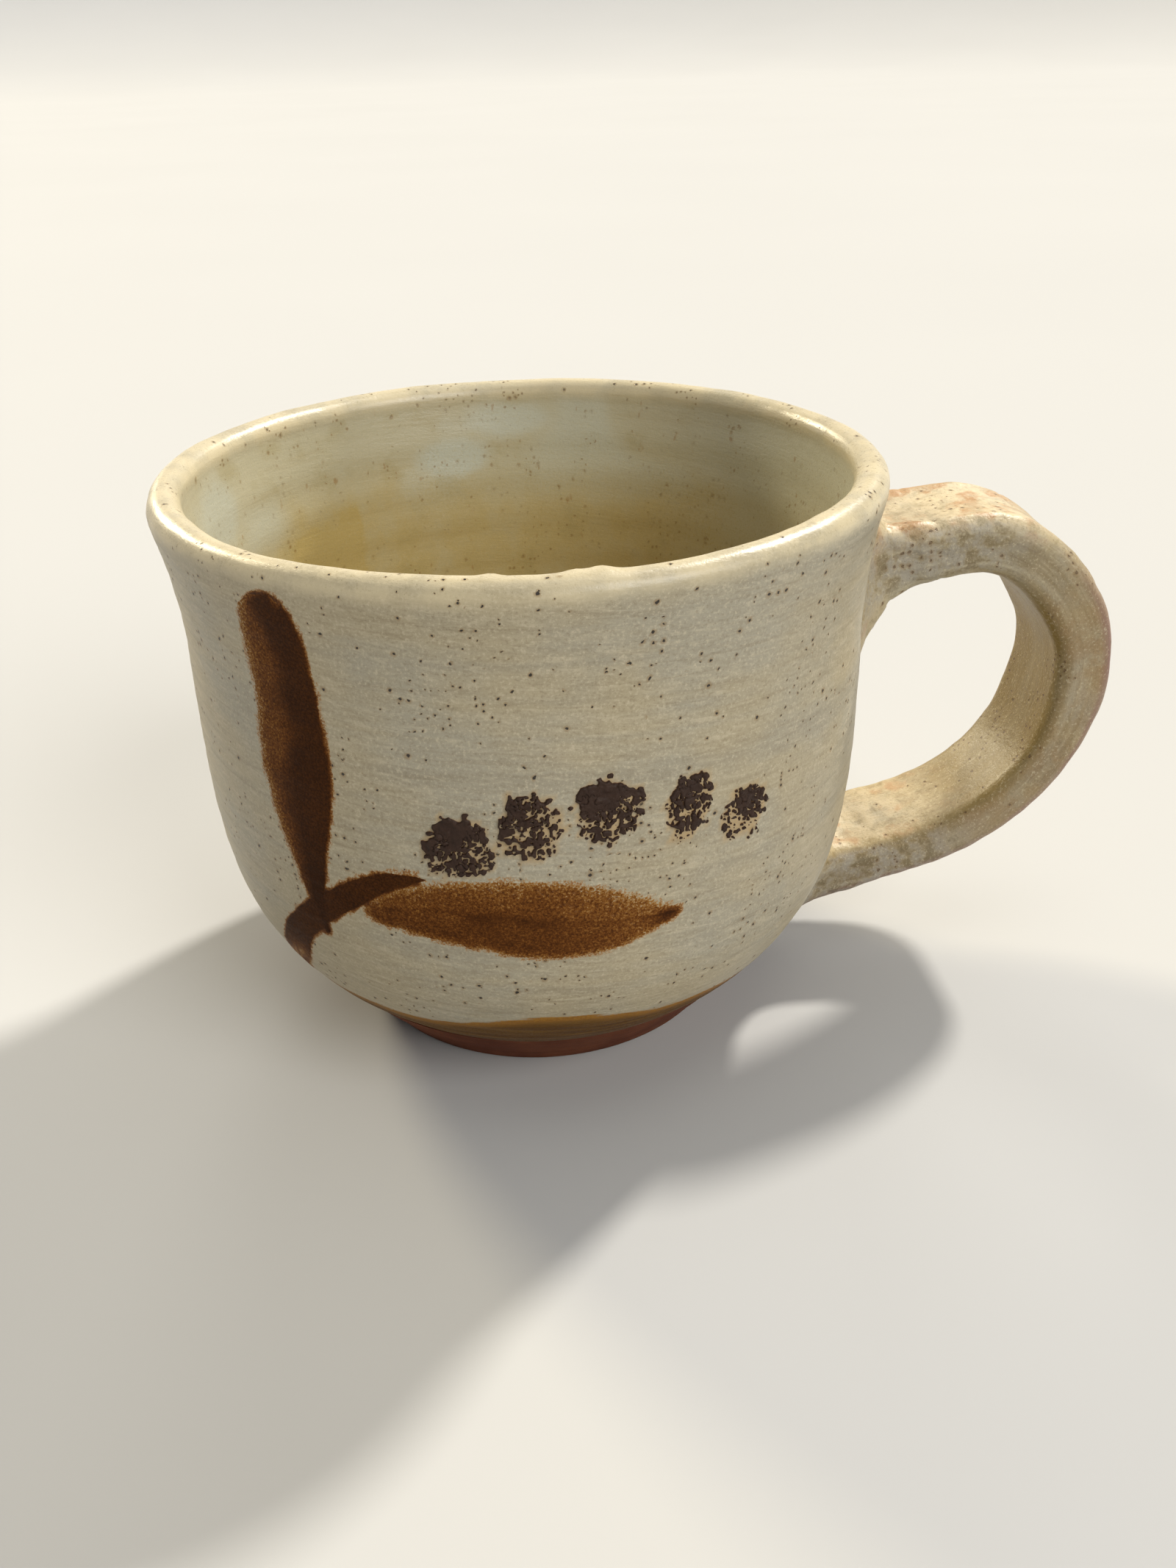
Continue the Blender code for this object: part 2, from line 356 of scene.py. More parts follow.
def throwing_rings(angle, height):
    """How far the potter's fingers left the outer wall proud or low, as a shallow spiral."""
    climb = height + 2.6 * angle / 360
    place = cylinder(angle, OUTER_NOISE_RADIUS, height)
    wander = 1.1 * noise(place, 30.0, 5)
    rings = 0.055 * np.sin(2 * np.pi * (climb + wander) / 5.4)
    rings += 0.035 * np.sin(2 * np.pi * (climb + 1.7 * wander) / 2.3 + 1.3)
    strength = 0.5 + 0.5 * noise(place * (1, 1, 2.0), 22.0, 6)
    brushed = 0.03 * noise(place * (0.08, 0.08, 1.0), 0.9, 7)
    swell = 0.22 * noise(place, 38.0, 8)
    scraped = 0.2 * rough(place * (1, 1, 0.6), 3.4, 9) * smooth_step(38, 14, np.abs(angle))
    scraped = scraped * np.maximum(smooth_step(40, 58, height), smooth_step(30, 20, height))
    swell = swell * smooth_step(LIP_TOP - 1, LIP_TOP - 20, height)
    return rings * strength + brushed + scraped + swell


def lip_relief(place):
    """How uneven the lip is, with its small lumps at the front."""
    relief = 0.22 * noise(place, 16.0, 72) + 0.08 * noise(place, 5.0, 73)
    relief = relief + 0.03 * noise(place, 2.0, 74)
    for angle, rise, reach in LIP_BUMPS:
        bump = cylinder(np.array(angle), LIP_CENTRE_RADIUS - 1.4, np.array(LIP_TOP - 0.3))
        away = place - bump
        relief = relief + rise * np.exp(-((np.linalg.norm(away, axis=-1) / reach) ** 2))
    return relief


def wall_relief(angle, height):
    """How far the outer surface leaves its smooth profile: rings on the wall, lumps on the lip."""
    place = cylinder(angle, wall_radius(height), height)
    join = smooth_step(LIP_TOP - 7, LIP_TOP - 3, height)
    return throwing_rings(angle, height) * (1 - join) + lip_relief(place) * join


def on_wall(angle, height, lift):
    """Points over the outer wall, raised along its normal."""
    slope = wall_slope(height)
    length = np.hypot(1.0, slope)
    rise = lift + wall_relief(angle, height)
    return cylinder(angle, wall_radius(height) + rise / length, height - rise * slope / length)


def unrolled(angle, height):
    """Distance round the wall and height, both in mm, for measuring on the wall's surface."""
    return np.stack([np.radians(angle) * wall_radius(height), height], axis=-1)


# ---------------------------------------------------------------- brush strokes

class Stroke:
    """A brush stroke as a chain of discs along a smooth middle line on the unrolled wall."""

    def __init__(self, points):
        line = smooth_curve(points, STROKE_STEPS)
        self.angle, self.height, self.half_width = line.T
        self.middle = unrolled(self.angle, self.height)
        along = np.gradient(self.middle, axis=0)
        self.along = along / np.linalg.norm(along, axis=1, keepdims=True)

    def measure(self, angle, height):
        """For each point: mm inside the outline, and its place across (-1 to 1) and along (0 to 1)."""
        place = unrolled(angle, height)
        inside = np.full(len(place), -20.0)
        side = np.zeros(len(place))
        share = np.zeros(len(place))
        discs = zip(self.middle, self.along, self.half_width)
        for k, (middle, along, half_width) in enumerate(discs):
            away = place - middle
            depth = half_width - np.hypot(away[:, 0], away[:, 1])
            nearer = depth > inside
            inside = np.where(nearer, depth, inside)
            across = along[0] * away[:, 1] - along[1] * away[:, 0]
            side = np.where(nearer, across / half_width, side)
            share = np.where(nearer, k / (len(self.middle) - 1), share)
        ragged = 0.28 * rough(cylinder(angle, OUTER_NOISE_RADIUS, height), 2.2, 31)
        return inside + ragged, side, share


STROKES = {
    "leaf_upright": Stroke(LEAF_UPRIGHT),
    "leaf_lying": Stroke(LEAF_LYING),
    "stem": Stroke(STEM),
}


def iron_load(name, angle, height):
    """How thick the iron lies in one stroke, from 0 for none to 1 for the darkest."""
    inside, side, share = STROKES[name].measure(angle, height)
    place = cylinder(angle, OUTER_NOISE_RADIUS, height)
    mottle = rough(place, 4.0, 41)
    if name == "leaf_upright":
        core = smooth_step(-0.35, 0.35, side + 0.35 * smooth_step(0.35, 0.7, share) + 0.25 * mottle)
        load = 0.56 + 0.34 * core + 0.08 * mottle + 0.25 * smooth_step(0.62, 0.85, share)
        margin = 0.5 + 1.9 * smooth_step(0.1, -0.6, side) * smooth_step(0.9, 0.5, share)
        edge = 0.45 * smooth_step(-0.3, 0.3, inside) + 0.55 * smooth_step(-0.2, margin, inside)
    elif name == "leaf_lying":
        rib = np.exp(-((side - 0.02 + 0.16 * mottle) / 0.11) ** 2)
        rib = rib * smooth_step(0.02, 0.2, share) * (0.6 + 0.7 * noise(place, 5.0, 45))
        load = 0.54 + 0.1 * mottle + 0.3 * rib + 0.3 * smooth_step(0.84, 0.97, share)
        load = load + 0.1 * smooth_step(0.3, -0.4, side) - 0.1 * smooth_step(0.35, 0.9, side)
        thin = smooth_step(0.5, 0.8, share + 0.1 * mottle) * smooth_step(0.9, 0.8, share)
        load = load - 0.14 * thin
        edge = 0.5 * smooth_step(-0.3, 0.25, inside) + 0.5 * smooth_step(-0.2, 1.3, inside)
    else:
        # Its lower end is lighter: thin brushing, and in part painted light from the left.
        dry_and_lit = smooth_step(0.32, 0.1, share)
        scratch = noise(np.stack([side * 3.2, share * 6.0, 0 * side], axis=-1), 0.6, 43)
        load = 0.88 - dry_and_lit * (0.5 + 0.36 * scratch) + 0.08 * mottle
        edge = smooth_step(-0.25, 0.3, inside)
    return np.clip(load * edge, 0, 1) * (inside > -0.6)


def total_iron(angle, height):
    """The thickest iron of any stroke at each point."""
    return np.max([iron_load(name, angle, height) for name in STROKES], axis=0)


# ---------------------------------------------------------------- berries

class Berry:
    """A dab of thick slip, measured in mm from its middle on the unrolled wall."""

    def __init__(self, number):
        low, high = (np.array(corner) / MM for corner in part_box(f"berry_{number}"))
        middle = (low + high) / 2
        self.number = number
        self.angle = math.degrees(math.atan2(middle[1], middle[0]))
        self.height = middle[2]
        turn = math.radians(self.angle)
        self.half_width = 0.5 * (high[0] - low[0]) / abs(math.sin(turn))
        self.half_width = min(self.half_width, BERRY_WIDEST)
        self.half_tall = 0.5 * (high[2] - low[2])

    def unroll(self, angle, height):
        """Places across and up the dab, in mm from its middle, and a point for its own noise."""
        u = np.radians(angle - self.angle) * wall_radius(height)
        v = height - self.height
        return u, v, np.stack([u, v, np.full_like(u, BERRY_APART * self.number)], axis=-1)

    def inside(self, angle, height):
        """About how many mm a point lies inside the dab's jagged outline."""
        u, v, place = self.unroll(angle, height)
        reach = np.hypot(u / self.half_width, v / self.half_tall)
        jagged = 0.17 * noise(place, 2.4, 51) + 0.2 * noise(place, 1.0, 52)
        jagged = jagged + 0.12 * noise(place, 0.5, 58)
        return (1 - reach + jagged) * self.half_width

    def field(self, angle, height):
        """Above 0 where slip stands, below 0 in the cracks between its crumbs."""
        u, v, place = self.unroll(angle, height)
        broken, solid_side = BERRY_TEXTURE[self.number]
        turn = math.radians(solid_side)
        lean = (u * math.cos(turn) + v * math.sin(turn)) / self.half_tall
        gap = broken - 0.24 * smooth_step(-0.5, 0.8, lean) + 0.12 * noise(place, 2.2, 55)
        crumbs = np.abs(0.8 * noise(place, 0.8, 53) + 0.4 * noise(place, 0.36, 54))
        return np.minimum(3.0 * (crumbs - gap), 1.8 * self.inside(angle, height))


BERRIES = [Berry(number) for number in range(1, 6)]


def berry_tint(angle, height):
    """1 under and between the slip of a berry, falling to 0 a short way outside it."""
    tint = np.zeros_like(angle)
    for berry in BERRIES:
        near = np.abs(angle - berry.angle) < 12
        if near.any():
            inside = berry.inside(angle[near], height[near])
            tint[near] = np.maximum(tint[near], smooth_step(-0.35, 0.05, inside))
    return tint


# ---------------------------------------------------------------- colours and shader nodes

def srgb(red, green, blue):
    """A colour given as 0 to 255 on screen, as the linear values that shaders use."""
    shares = [value / 255 for value in (red, green, blue)]
    return tuple(s / 12.92 if s <= 0.04045 else ((s + 0.055) / 1.055) ** 2.4 for s in shares) + (1.0,)


class Graph:
    """Builds one material's node tree, with positions in millimetres."""

    def __init__(self, name):
        self.material = bpy.data.materials.new(name)
        self.material.use_nodes = True
        self.tree = self.material.node_tree
        self.shader = self.tree.nodes["Principled BSDF"]
        place = self.add("TexCoord").outputs["Object"]
        scaled = self.add("VectorMath", {0: place, "Scale": 1 / MM}, operation="SCALE")
        self.place = scaled.outputs["Vector"]

    def feed(self, item, label, value):
        """Link an input to another node's output, or set it to a plain value."""
        if isinstance(value, bpy.types.NodeSocket):
            self.tree.links.new(value, item.inputs[label])
        else:
            item.inputs[label].default_value = value

    def add(self, kind, inputs=None, **settings):
        item = self.tree.nodes.new("ShaderNode" + kind)
        for label, value in settings.items():
            setattr(item, label, value)
        for label, value in (inputs or {}).items():
            self.feed(item, label, value)
        return item

    def math(self, operation, first, second=0.0, third=0.0):
        inputs = {0: first, 1: second, 2: third}
        return self.add("Math", inputs, operation=operation).outputs[0]

    def times(self, first, second):
        return self.math("MULTIPLY", first, second)

    def total(self, *parts):
        """The sum of values, each given with its weight."""
        result = self.times(*parts[0])
        for value, weight in parts[1:]:
            result = self.math("MULTIPLY_ADD", value, weight, result)
        return result

    def stretched(self, x, y, z, vector=None):
        inputs = {0: vector or self.place, 1: (x, y, z)}
        return self.add("VectorMath", inputs, operation="MULTIPLY").outputs["Vector"]

    def noise(self, size, detail=2.0, roughness=0.5, vector=None, distortion=0.0):
        inputs = {
            "Vector": vector or self.place,
            "Scale": 1 / size,
            "Detail": detail,
            "Roughness": roughness,
            "Distortion": distortion,
        }
        return self.add("TexNoise", inputs).outputs["Fac"]

    def attribute(self, name):
        return self.add("Attribute", attribute_name=name).outputs["Fac"]

    def between(self, value, low, high, to_low=0.0, to_high=1.0):
        """A smooth change from to_low to to_high as value goes from low to high."""
        inputs = {
            "Value": value,
            "From Min": low,
            "From Max": high,
            "To Min": to_low,
            "To Max": to_high,
        }
        return self.add("MapRange", inputs, interpolation_type="SMOOTHSTEP").outputs["Result"]

    def mix(self, share, first, second):
        return self.add("Mix", {0: share, 6: first, 7: second}, data_type="RGBA").outputs[2]

    def tint(self, colour, *steps):
        """Mix in other colours, each by up to an amount as its value goes from low to high."""
        for value, low, high, amount, other in steps:
            colour = self.mix(self.between(value, low, high, 0.0, amount), colour, other)
        return colour

    def ramp(self, value, stops):
        item = self.add("ValToRGB", {"Fac": value})
        elements = item.color_ramp.elements
        while len(elements) < len(stops):
            elements.new(0.5)
        for element, (position, colour) in zip(elements, stops):
            element.position = position
            element.color = colour
        return item.outputs["Color"]

    def finish(self, colour, roughness, height=None, depth=0.05, specular=0.5):
        """Set the shader's inputs, with a bump whose height of 1 is a depth in millimetres."""
        inputs = {"Base Color": colour, "Roughness": roughness, "Specular IOR Level": specular}
        for label, value in inputs.items():
            self.feed(self.shader, label, value)
        if height is not None:
            bump = self.add("Bump", {"Height": height, "Distance": depth * MM, "Strength": 1.0})
            self.tree.links.new(bump.outputs["Normal"], self.shader.inputs["Normal"])
        return self.material


# Outer glaze, and the iron spots in it.
GLAZE_COOL = srgb(158, 152, 134)
GLAZE_WARM = srgb(168, 155, 125)
GLAZE_PALE = srgb(195, 184, 159)
GLAZE_SHADE = srgb(124, 110, 84)
LIP_CREAM_AND_HIGHLIGHT = srgb(206, 192, 158)
CLAY_WARM = srgb(184, 162, 126)
RUST = srgb(128, 96, 44)
IRON_SPOT = srgb(30, 21, 10)
# Glaze inside the cup.
LINER_GREY = srgb(174, 167, 140)
LINER_OCHRE = srgb(172, 152, 98)
# Chalky pools, also used as painted light on the wall inside by the handle.
LINER_CHALK_AND_LIT = srgb(178, 180, 166)
LINER_RING = srgb(146, 124, 74)
LINER_CLOUD = srgb(150, 136, 92)
LINER_FRECKLE = srgb(140, 104, 56)
# Brushed iron by how thick it lies, the thin turned band above the foot, and the berries.
IRON_STOPS = [
    (0.0, srgb(176, 146, 94)),
    (0.2, srgb(150, 108, 54)),
    (0.42, srgb(114, 70, 30)),
    (0.66, srgb(82, 47, 19)),
    (1.0, srgb(50, 27, 11)),
]
BAND_TURNED = (srgb(84, 56, 22), srgb(108, 78, 34))
BAND_EDGE = (srgb(134, 92, 36), srgb(154, 112, 50))
SLIP_HALO = srgb(172, 146, 104)
SLIP_SHADES = (srgb(36, 22, 16), srgb(60, 41, 31))
SLIP_STOPS = [
    (0.0, srgb(168, 138, 96)),
    (0.18, srgb(128, 92, 56)),
    (0.4, srgb(52, 34, 27)),
    (1.0, srgb(52, 36, 30)),
]
# Handle.
STRAP_COOL = srgb(158, 150, 128)
STRAP_WARM = srgb(164, 148, 112)
STRAP_WIPED = srgb(124, 108, 72)
STRAP_STREAK = srgb(192, 180, 150)
STRAP_DARK_STREAK = srgb(106, 86, 54)
STRAP_OCHRE = srgb(126, 104, 48)
STRAP_TAN = srgb(140, 114, 76)
STRAP_ROSE = srgb(124, 90, 76)
STRAP_WORN_AND_LIT = srgb(204, 186, 150)
STRAP_FRINGE = srgb(170, 128, 82)
STRAP_CHALK = srgb(156, 151, 140)
STRAP_SCRAPED = srgb(110, 96, 68)
STRAP_PALE_GRAIN = srgb(200, 188, 160)
STRAP_DARK_GRAIN = srgb(106, 88, 58)
STRAP_PIT = srgb(88, 66, 42)
# Bare clay and the stage.
FOOT_CLAYS = (srgb(92, 48, 30), srgb(112, 64, 40))
FOOT_LINE = srgb(68, 36, 24)
FOOT_GRIT = srgb(140, 94, 64)
PAPERS = (srgb(182, 182, 182), srgb(186, 186, 186))


def speckles(graph, place, spacing, least, most, share, cluster_size):
    """Round iron spots over a flat measure of the surface, from their spacing, least and most radius,
    share and the size of their clusters. Returns how dark each spot and its halo are."""
    drift = graph.math("MULTIPLY_ADD", graph.noise(0.5, 2.0), 0.5, -0.25)
    place = graph.add("VectorMath", {0: place, 1: drift}, operation="ADD").outputs[0]
    inputs = {"Vector": place, "Scale": 1 / spacing, "Randomness": 1.0}
    cells = graph.add("TexVoronoi", inputs, voronoi_dimensions="2D")
    pick = graph.add("SeparateColor", {"Color": cells.outputs["Color"]})
    cluster = graph.between(graph.noise(cluster_size, 2.0, 0.6), 0.53, 0.62)
    least_pick = graph.math("MULTIPLY_ADD", cluster, -share, 0.985)
    chosen = graph.math("GREATER_THAN", pick.outputs[0], least_pick)
    size = graph.math("MULTIPLY_ADD", pick.outputs[1], most - least, least)
    distance = graph.times(cells.outputs["Distance"], spacing)
    reach = graph.math("DIVIDE", distance, size)
    spot = graph.times(graph.between(reach, 1.0, 0.7), chosen)
    halo = graph.times(graph.between(reach, 2.7, 0.9), chosen)
    return spot, halo


def brushed_ground(graph):
    """Outer glaze colour: cool and warm clouds with fine brushed streaks and a granular surface."""
    level = graph.stretched(0.055, 0.055, 1.0)
    slant = graph.times(graph.add("SeparateXYZ", {"Vector": graph.place}).outputs["X"], 0.05)
    lean = graph.add("CombineXYZ", {"Z": slant}).outputs[0]
    streaks = graph.add("VectorMath", {0: level, 1: lean}, operation="ADD").outputs[0]
    inputs = {"Vector": graph.place, "Angle": math.radians(-7)}
    tilted = graph.add("VectorRotate", inputs, rotation_type="Y_AXIS").outputs[0]
    fine = graph.noise(0.8, 4.0, 0.65, streaks, 0.6)
    wide = graph.noise(4.5, 3.0, 0.6, streaks, 0.4)
    cloud = graph.noise(22.0, 3.0, 0.55)
    short = graph.noise(0.75, 3.0, 0.65, graph.stretched(0.2, 0.2, 1.0, tilted), 0.5)
    grain = graph.noise(0.42, 3.0, 0.75)
    colour = graph.tint(
        GLAZE_COOL,
        (graph.total((cloud, 0.65), (wide, 0.35)), 0.4, 0.62, 0.8, GLAZE_WARM),
        (wide, 0.48, 0.3, 0.2, GLAZE_SHADE),
        (fine, 0.5, 0.32, 0.3, GLAZE_SHADE),
        (short, 0.5, 0.72, 0.4, GLAZE_PALE),
        (short, 0.48, 0.3, 0.22, GLAZE_SHADE),
        (grain, 0.52, 0.68, 0.6, GLAZE_PALE),
        (grain, 0.46, 0.32, 0.45, GLAZE_SHADE),
    )
    return colour, fine, short, grain


def iron_over(graph, colour, grain):
    """The brushed iron, granular where it is thin."""
    iron = graph.attribute("iron")
    grit = graph.math("SUBTRACT", graph.noise(0.34, 3.0, 0.8), 0.5)
    unevenness = graph.times(grit, graph.between(iron, 0.3, 1.0, 2.0, 1.0))
    load = graph.math("MULTIPLY_ADD", unevenness, graph.between(iron, 0.0, 0.12), iron)
    bare = graph.times(graph.between(grain, 0.56, 0.7), graph.between(iron, 0.6, 0.15, 0.0, 0.4))
    shown = graph.math("SUBTRACT", graph.between(load, 0.04, 0.18), bare)
    return graph.mix(shown, colour, graph.ramp(load, IRON_STOPS))


def liner_colour(graph, soft, grain):
    """Glaze inside the cup: ochre and grey with chalky patches, faint rings and freckles, and painted light
    by the handle.
    """
    rings = graph.noise(2.2, 3.0, 0.6, graph.stretched(0.1, 0.1, 1.0))
    ochre = graph.times(graph.attribute("ochre"), graph.between(soft, 0.2, 0.6, 0.6, 1.0))
    liner = graph.tint(
        graph.mix(ochre, LINER_GREY, LINER_OCHRE),
        (rings, 0.5, 0.32, 0.14, LINER_RING),
        (soft, 0.5, 0.72, 0.4, LINER_CLOUD),
    )
    # The chalk mask holds pale pools, and painted light on the wall inside by the handle.
    chalk = graph.times(graph.attribute("chalk"), graph.between(grain, 0.25, 0.6, 0.5, 1.0))
    liner = graph.mix(chalk, liner, LINER_CHALK_AND_LIT)
    liner = graph.tint(liner, (grain, 0.55, 0.75, 0.25, GLAZE_PALE))
    freckle = graph.noise(1.3, 2.0, 0.5, graph.stretched(1.0, 1.0, 0.5))
    freckle = graph.times(graph.between(freckle, 0.67, 0.76), graph.between(soft, 0.42, 0.6, 0.0, 0.6))
    return graph.mix(freckle, liner, LINER_FRECKLE)


def add_spots(graph, colour, inside, soft):
    """Iron spots of two sizes, faint inside the cup. Returns the colour and how dark the spots are."""
    around = {"X": graph.attribute("around"), "Y": graph.attribute("up")}
    flat = graph.add("CombineXYZ", around).outputs[0]
    spot, halo = speckles(graph, flat, 1.3, 0.12, 0.27, 0.3, 8.0)
    tiny_spot, tiny_halo = speckles(graph, flat, 0.85, 0.08, 0.17, 0.17, 14.0)
    hidden = graph.times(inside, graph.between(soft, 0.62, 0.45))
    rust = graph.times(graph.math("MAXIMUM", halo, tiny_halo), 0.5)
    rust = graph.times(rust, graph.math("MULTIPLY_ADD", hidden, -0.75, 1.0))
    dark = graph.math("MAXIMUM", spot, tiny_spot)
    dark = graph.times(dark, graph.math("MULTIPLY_ADD", inside, -0.85, 1.0))
    return graph.mix(dark, graph.mix(rust, colour, RUST), IRON_SPOT), dark


def turned_band(graph, colour, fine, grain):
    """The thin brown glaze above the foot. Returns the colour and where the band lies."""
    edge = graph.total((graph.attribute("band"), 1.0), (fine, 1.8), (grain, 0.8))
    edge = graph.math("SUBTRACT", edge, 1.3)
    turned = graph.mix(graph.between(fine, 0.4, 0.62), *BAND_TURNED)
    golden = graph.mix(graph.between(grain, 0.4, 0.65), *BAND_EDGE)
    band = graph.mix(graph.between(edge, 0.4, 2.6), golden, turned)
    place = graph.between(edge, -0.15, 0.35)
    return graph.mix(place, colour, band), place


def glaze_material(name, specular):
    """Satin glaze: mottled, brushed, spotted with iron, and ochre inside the cup."""
    graph = Graph(name)
    inside = graph.attribute("inside")
    outside, fine, short, grain = brushed_ground(graph)
    soft = graph.noise(7.0, 3.0, 0.6)
    colour = graph.mix(inside, outside, liner_colour(graph, soft, grain))
    lip = graph.attribute("lip")
    # Paler cream over the lip: its own paler glaze, with a painted highlight along its top.
    colour = graph.mix(graph.times(lip, graph.between(soft, 0.3, 0.6, 0.35, 0.8)), colour, LIP_CREAM_AND_HIGHLIGHT)
    stain = graph.times(graph.attribute("stain"), graph.between(short, 0.38, 0.6, 0.1, 0.75))
    colour = graph.mix(stain, colour, CLAY_WARM)
    colour, dark = add_spots(graph, colour, inside, soft)
    slip = graph.times(graph.attribute("berry"), graph.between(grain, 0.3, 0.6, 0.5, 0.9))
    colour = graph.mix(slip, colour, SLIP_HALO)
    colour = iron_over(graph, colour, grain)
    colour, band = turned_band(graph, colour, fine, grain)

    relief = graph.total((fine, 0.3), (short, 0.45), (grain, 0.35), (dark, -0.5))
    gloss = graph.times(graph.math("MAXIMUM", lip, inside), -0.14)
    roughness = graph.math("ADD", graph.between(grain, 0.25, 0.75, 0.38, 0.56), gloss)
    iron = graph.between(graph.attribute("iron"), 0.05, 0.4)
    dull = graph.math("MAXIMUM", iron, band)
    shine = graph.between(dull, 0.0, 1.0, specular, min(specular, DULL_SPECULAR))
    return graph.finish(colour, roughness, relief, 0.1, shine)


def handle_material():
    """The strap's glaze: wiped along its length, ochre and thin on its edges, pitted by the roots."""
    graph = Graph("wiped_handle_glaze")
    run, through, across = (graph.attribute(name) for name in ("run", "through", "across"))
    strap = graph.add("CombineXYZ", {"X": run, "Y": through, "Z": across}).outputs["Vector"]
    pulled = graph.stretched(0.07, 1.0, 1.0, strap)
    streak = graph.noise(1.1, 4.0, 0.65, pulled, 0.3)
    wide = graph.noise(3.6, 3.0, 0.6, pulled, 0.3)
    cloud = graph.noise(9.0, 3.0, 0.6)
    patch = graph.noise(3.0, 4.0, 0.65)
    blotch = graph.noise(5.0, 2.0, 0.5)
    grain = graph.noise(0.45, 3.0, 0.7)
    colour = graph.tint(
        STRAP_COOL,
        (cloud, 0.38, 0.62, 1.0, STRAP_WARM),
        (wide, 0.58, 0.4, 0.7, STRAP_WIPED),
        (streak, 0.5, 0.7, 0.5, STRAP_STREAK),
        (streak, 0.48, 0.3, 0.6, STRAP_DARK_STREAK),
    )
    fringe = graph.times(graph.between(blotch, 0.5, 0.62), graph.between(patch, 0.4, 0.6, 0.4, 0.9))
    for mask, share, tone in (
        ("ochre", graph.between(wide, 0.3, 0.62, 0.5, 1.0), STRAP_OCHRE),
        ("tan", graph.between(patch, 0.36, 0.6, 0.45, 1.0), STRAP_TAN),
        ("rose", graph.between(streak, 0.35, 0.6, 0.5, 1.0), STRAP_ROSE),
        # Paler upper faces by the roots: partly wear of the glaze, partly painted light from above.
        ("worn_and_lit", graph.between(patch, 0.3, 0.6, 0.3, 0.9), STRAP_WORN_AND_LIT),
        ("worn_and_lit", fringe, STRAP_FRINGE),
        ("chalk", graph.between(patch, 0.38, 0.62, 0.0, 0.7), STRAP_CHALK),
        ("chalk", graph.between(patch, 0.48, 0.36, 0.0, 0.7), STRAP_SCRAPED),
    ):
        colour = graph.mix(graph.times(graph.attribute(mask), share), colour, tone)
    colour = graph.tint(
        colour,
        (grain, 0.54, 0.7, 0.5, STRAP_PALE_GRAIN),
        (grain, 0.46, 0.32, 0.4, STRAP_DARK_GRAIN),
    )
    side = graph.math("ADD", through, across)
    flat = graph.add("CombineXYZ", {"X": run, "Y": side}).outputs[0]
    pit, halo = speckles(graph, flat, 1.4, 0.13, 0.3, 0.5, 6.0)
    colour = graph.mix(graph.times(halo, 0.35), colour, RUST)
    colour = graph.mix(graph.times(pit, 0.7), colour, STRAP_PIT)
    relief = graph.total((streak, 0.3), (grain, 0.35), (patch, 0.9), (pit, -0.6))
    return graph.finish(colour, graph.between(grain, 0.25, 0.75, 0.36, 0.54), relief, 0.2, 0.5)


def berry_material():
    """Thick slip: chocolate crumbs with rust in the cracks between them."""
    graph = Graph("thick_iron_slip")
    grain = graph.noise(0.35, 3.0, 0.6)
    unevenness = graph.math("MULTIPLY_ADD", grain, 0.3, -0.15)
    level = graph.math("ADD", graph.attribute("rise"), unevenness)
    shade = graph.mix(graph.noise(1.6, 2.0), *SLIP_SHADES)
    colour = graph.mix(graph.between(level, 0.35, 0.6), graph.ramp(level, SLIP_STOPS), shade)
    return graph.finish(colour, 0.5, grain, 0.1, 0.2)


def bare_clay_material():
    """Unglazed red-brown stoneware with turning lines."""
    graph = Graph("bare_red_clay")
    lines = graph.noise(0.7, 3.0, 0.6, graph.stretched(0.05, 0.05, 1.0))
    cloud = graph.noise(9.0, 3.0, 0.6)
    grain = graph.noise(0.4, 2.0, 0.7)
    colour = graph.tint(
        graph.mix(graph.between(cloud, 0.35, 0.7), *FOOT_CLAYS),
        (lines, 0.4, 0.75, 0.5, FOOT_LINE),
        (grain, 0.62, 0.8, 0.5, FOOT_GRIT),
    )
    return graph.finish(colour, 0.85, graph.total((lines, 0.5), (grain, 0.5)), 0.12, 0.15)


# ---------------------------------------------------------------- pieces

def glaze_line(angle):
    """Height at which the pale glaze stops above the foot, drawn up into a tongue at the front."""
    place = cylinder(angle, OUTER_NOISE_RADIUS, 0.0)
    tongue = 4.4 * np.exp(-(((angle + 93) / 18) ** 2))
    return 16.6 + tongue + 0.5 * noise(place, 12.0, 61) + 0.25 * noise(place, 3.0, 62)


def blot(angle, height, middle, reach, seed):
    """1 in the middle of a ragged patch, given by its angle and height, falling to 0 at its reach."""
    place = cylinder(angle, INNER_NOISE_RADIUS, height)
    middle = cylinder(np.array(middle[0]), INNER_NOISE_RADIUS, np.array(middle[1]))
    away = place - middle
    distance = np.linalg.norm(away / reach, axis=-1) + 0.3 * rough(place, 5.0, seed)
    return smooth_step(1.1, 0.5, distance)


